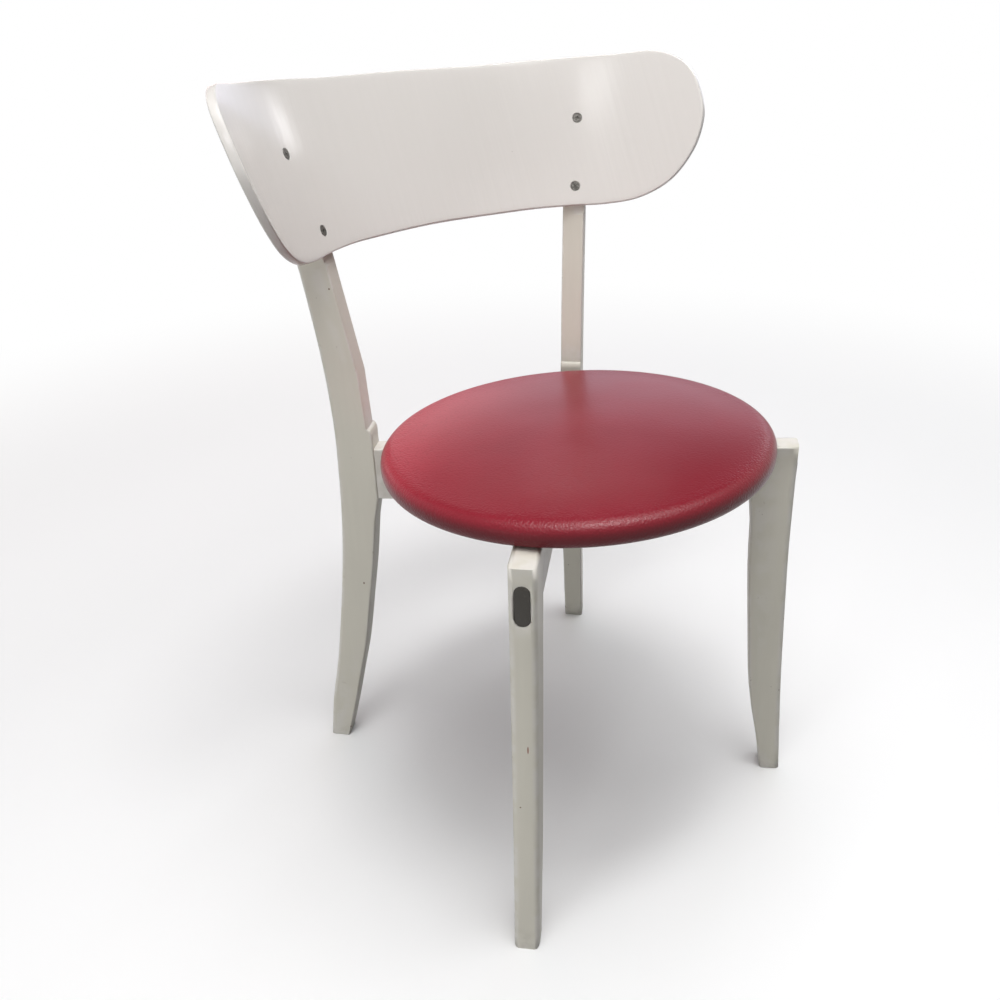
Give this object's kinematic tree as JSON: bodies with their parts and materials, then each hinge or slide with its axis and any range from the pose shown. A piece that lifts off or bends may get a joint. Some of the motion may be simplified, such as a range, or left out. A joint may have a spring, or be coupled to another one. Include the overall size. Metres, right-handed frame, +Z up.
{
  "type": "peeling paint chair",
  "caption": "Wooden side chair in worn off-white paint, with sabre-curved legs, a bent plywood back panel and a round padded seat in dark red vinyl.",
  "frame": {"origin": "on the floor, under the middle of the chair's bounding box", "axes": "+Z up and +Y towards the back panel, so a sitter faces -Y; left in a node's name is -X and right is +X, as seen from in front of the chair"},
  "size_m": [0.5644, 0.5277, 0.8082],
  "materials": {
    "painted_wood": "off-white satin paint over hardwood, with small nicks, specks and rubbed arrises",
    "painted_plywood": "off-white semi-gloss paint over bent plywood, faint grain showing in the gloss",
    "dark_caps": "dark brown-grey moulded caps",
    "panel_screws": "dark oxidised countersunk screws",
    "zinc_screws": "dull zinc plating",
    "bare_plywood": "bare plywood",
    "seat_foam": "cut upholstery foam",
    "seat_vinyl": "dark red pebble-grained vinyl with a soft sheen and light scuffs"
  },
  "bodies": {
    "root": {"back_panel": "painted_plywood", "cross_rail_left": "painted_wood", "cross_rail_right": "painted_wood", "front_leg_left": "painted_wood", "front_leg_right": "painted_wood", "rear_leg_left": "painted_wood", "rear_leg_right": "painted_wood", "leg_cap_front_left": "dark_caps", "leg_cap_front_right": "dark_caps", "leg_cap_rear_left": "dark_caps", "leg_cap_rear_right": "dark_caps", "leg_screw_front_left_upper": "zinc_screws", "leg_screw_front_left_lower": "zinc_screws", "leg_screw_front_right_upper": "zinc_screws", "leg_screw_front_right_lower": "zinc_screws", "leg_screw_rear_left_upper": "zinc_screws", "leg_screw_rear_left_lower": "zinc_screws", "leg_screw_rear_right_upper": "zinc_screws", "leg_screw_rear_right_lower": "zinc_screws", "panel_screw_left_upper": "panel_screws", "panel_screw_left_lower": "panel_screws", "panel_screw_right_upper": "panel_screws", "panel_screw_right_lower": "panel_screws", "seat_board": "bare_plywood", "seat_foam": "seat_foam", "seat_cover": "seat_vinyl", "seat_screw_front_left": "zinc_screws", "seat_screw_front_right": "zinc_screws", "seat_screw_rear_left": "zinc_screws", "seat_screw_rear_right": "zinc_screws"}
  },
  "joints": []
}
